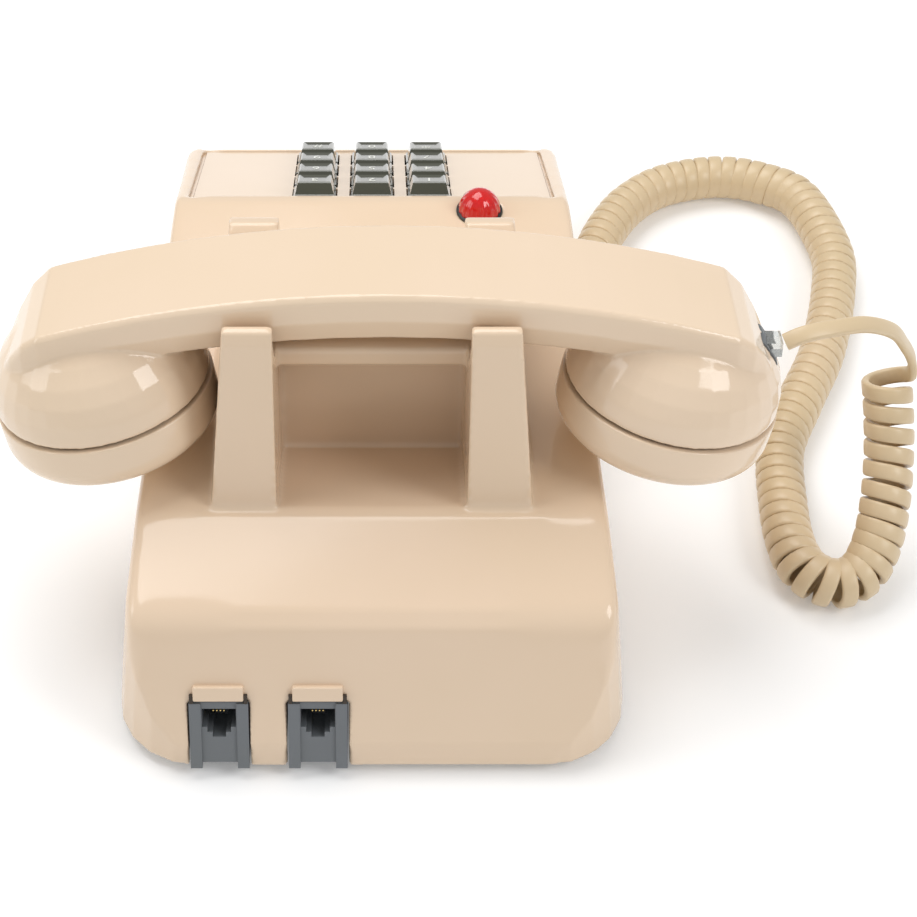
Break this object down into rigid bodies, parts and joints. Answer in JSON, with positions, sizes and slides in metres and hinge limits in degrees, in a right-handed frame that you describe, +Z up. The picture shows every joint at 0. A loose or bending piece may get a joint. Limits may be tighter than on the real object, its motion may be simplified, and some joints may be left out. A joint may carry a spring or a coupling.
{
  "type": "push-button desk telephone",
  "caption": "Push-button desk telephone: handset on a cradle, curly handset cord, message lamp, rear modular jacks, keys that press and a handset that lifts.",
  "frame": {"origin": "centre of the telephone's footprint on the table, the curly cord left out", "axes": "+Z up from the table; the keypad end faces -Y and the rear jacks face +Y; the mouthpiece end of the handset and its cord are at -X"},
  "size_m": [0.2828, 0.2753, 0.1238],
  "materials": {
    "housing_plastic": "glossy moulded ABS, warm beige",
    "handset_plastic": "glossy moulded ABS, warm beige",
    "key_plastic": "two-shot moulded keys, dark olive grey",
    "slate_plastic": "slate grey moulded plastic",
    "black_plastic": "black moulded plastic",
    "plunger_plastic": "clear off-white plunger plastic",
    "clear_plastic": "clear polycarbonate plug",
    "lamp_red": "translucent red lens",
    "cord_plastic": "semi-gloss vinyl cord jacket, tan",
    "zinc_steel": "zinc-plated sheet steel",
    "gong_brass": "brass-plated gong",
    "coil_copper": "varnished copper winding",
    "capsule_metal": "stamped aluminium capsule",
    "circuit_board": "green circuit board",
    "foot_rubber": "soft black rubber"
  },
  "bodies": {
    "base": {"housing": "housing_plastic", "keypad_faceplate": "housing_plastic", "base_plate": "zinc_steel", "base_screw_front": "zinc_steel", "base_screw_rear": "zinc_steel", "ringer_frame": "zinc_steel", "gong_large": "gong_brass", "gong_small": "gong_brass", "gong_large_post": "zinc_steel", "gong_small_post": "zinc_steel", "ringer_coil": "coil_copper", "foot_front_left": "foot_rubber", "foot_front_right": "foot_rubber", "foot_rear_left": "foot_rubber", "foot_rear_right": "foot_rubber", "keypad_module": "black_plastic", "keypad_board": "circuit_board", "network_board": "circuit_board", "network_block": "black_plastic", "hook_switch": "black_plastic", "data_jack": "slate_plastic", "line_jack": "slate_plastic", "base_cord_jack": "slate_plastic", "message_lamp_lens": "lamp_red", "message_lamp_socket": "black_plastic", "base_plug": "clear_plastic", "cord_lead_lower": "cord_plastic", "cord_coil_hanging": "cord_plastic", "cord_coil_lying": "cord_plastic"},
    "handset": {"handset_shell": "handset_plastic", "transmitter_cap": "handset_plastic", "receiver_cap": "handset_plastic", "transmitter_capsule": "capsule_metal", "receiver_capsule": "capsule_metal", "handset_jack": "slate_plastic", "handset_plug": "clear_plastic", "cord_lead_upper": "cord_plastic"},
    "left_plunger": {"plunger_left": "plunger_plastic"},
    "right_plunger": {"plunger_right": "plunger_plastic"},
    "lever": {"hook_lever": "zinc_steel"},
    "ringer_clapper": {"clapper": "zinc_steel"},
    "ringer_wheel": {"volume_wheel": "slate_plastic"},
    "body_key_1": {"key_1": "key_plastic"},
    "body_key_2": {"key_2": "key_plastic"},
    "body_key_3": {"key_3": "key_plastic"},
    "body_key_4": {"key_4": "key_plastic"},
    "body_key_5": {"key_5": "key_plastic"},
    "body_key_6": {"key_6": "key_plastic"},
    "body_key_7": {"key_7": "key_plastic"},
    "body_key_8": {"key_8": "key_plastic"},
    "body_key_9": {"key_9": "key_plastic"},
    "body_key_star": {"key_star": "key_plastic"},
    "body_key_0": {"key_0": "key_plastic"},
    "body_key_hash": {"key_hash": "key_plastic"}
  },
  "joints": [
    {"name": "handset_lift", "type": "slide", "parent": "base", "child": "handset", "axis": [0, 0, 1], "range_m": [0, 0.1], "deforming": ["cord_coil_hanging"]},
    {"name": "left_plunger_travel", "type": "slide", "parent": "base", "child": "left_plunger", "axis": [0, 0, 1], "range_m": [0, 0.0056]},
    {"name": "right_plunger_travel", "type": "slide", "parent": "base", "child": "right_plunger", "axis": [0, 0, 1], "range_m": [0, 0.0056]},
    {"name": "lever_pivot", "type": "hinge", "parent": "base", "child": "lever", "pos_m": [0.0045, 0.00385, 0.082], "axis": [1, 0, 0], "range_deg": [0, 13]},
    {"name": "clapper_swing", "type": "hinge", "parent": "base", "child": "ringer_clapper", "pos_m": [0.0045, 0.02085, 0.024], "axis": [0, 0, 1], "range_deg": [-9, 9], "stiffness_Nm_per_rad": 0.002},
    {"name": "volume_turn", "type": "hinge", "parent": "base", "child": "ringer_wheel", "pos_m": [0.0615, 0.05785, 0.0054], "axis": [0, 0, 1], "range_deg": [-60, 60]},
    {"name": "press_1", "type": "slide", "parent": "base", "child": "body_key_1", "axis": [0, 0.4222, -0.9065], "range_m": [0, 0.003], "stiffness_N_per_m": 150, "springref_m": -0.002},
    {"name": "press_2", "type": "slide", "parent": "base", "child": "body_key_2", "axis": [0, 0.4222, -0.9065], "range_m": [0, 0.003], "stiffness_N_per_m": 150, "springref_m": -0.002},
    {"name": "press_3", "type": "slide", "parent": "base", "child": "body_key_3", "axis": [0, 0.4222, -0.9065], "range_m": [0, 0.003], "stiffness_N_per_m": 150, "springref_m": -0.002},
    {"name": "press_4", "type": "slide", "parent": "base", "child": "body_key_4", "axis": [0, 0.4222, -0.9065], "range_m": [0, 0.003], "stiffness_N_per_m": 150, "springref_m": -0.002},
    {"name": "press_5", "type": "slide", "parent": "base", "child": "body_key_5", "axis": [0, 0.4222, -0.9065], "range_m": [0, 0.003], "stiffness_N_per_m": 150, "springref_m": -0.002},
    {"name": "press_6", "type": "slide", "parent": "base", "child": "body_key_6", "axis": [0, 0.4222, -0.9065], "range_m": [0, 0.003], "stiffness_N_per_m": 150, "springref_m": -0.002},
    {"name": "press_7", "type": "slide", "parent": "base", "child": "body_key_7", "axis": [0, 0.4222, -0.9065], "range_m": [0, 0.003], "stiffness_N_per_m": 150, "springref_m": -0.002},
    {"name": "press_8", "type": "slide", "parent": "base", "child": "body_key_8", "axis": [0, 0.4222, -0.9065], "range_m": [0, 0.003], "stiffness_N_per_m": 150, "springref_m": -0.002},
    {"name": "press_9", "type": "slide", "parent": "base", "child": "body_key_9", "axis": [0, 0.4222, -0.9065], "range_m": [0, 0.003], "stiffness_N_per_m": 150, "springref_m": -0.002},
    {"name": "press_star", "type": "slide", "parent": "base", "child": "body_key_star", "axis": [0, 0.4222, -0.9065], "range_m": [0, 0.003], "stiffness_N_per_m": 150, "springref_m": -0.002},
    {"name": "press_0", "type": "slide", "parent": "base", "child": "body_key_0", "axis": [0, 0.4222, -0.9065], "range_m": [0, 0.003], "stiffness_N_per_m": 150, "springref_m": -0.002},
    {"name": "press_hash", "type": "slide", "parent": "base", "child": "body_key_hash", "axis": [0, 0.4222, -0.9065], "range_m": [0, 0.003], "stiffness_N_per_m": 150, "springref_m": -0.002}
  ],
  "couplings": [
    {"joint": "left_plunger_travel", "follows": "handset_lift", "ratio": 0.055},
    {"joint": "right_plunger_travel", "follows": "handset_lift", "ratio": 0.055},
    {"joint": "lever_pivot", "follows": "handset_lift", "rad_per_m": 2.2}
  ]
}
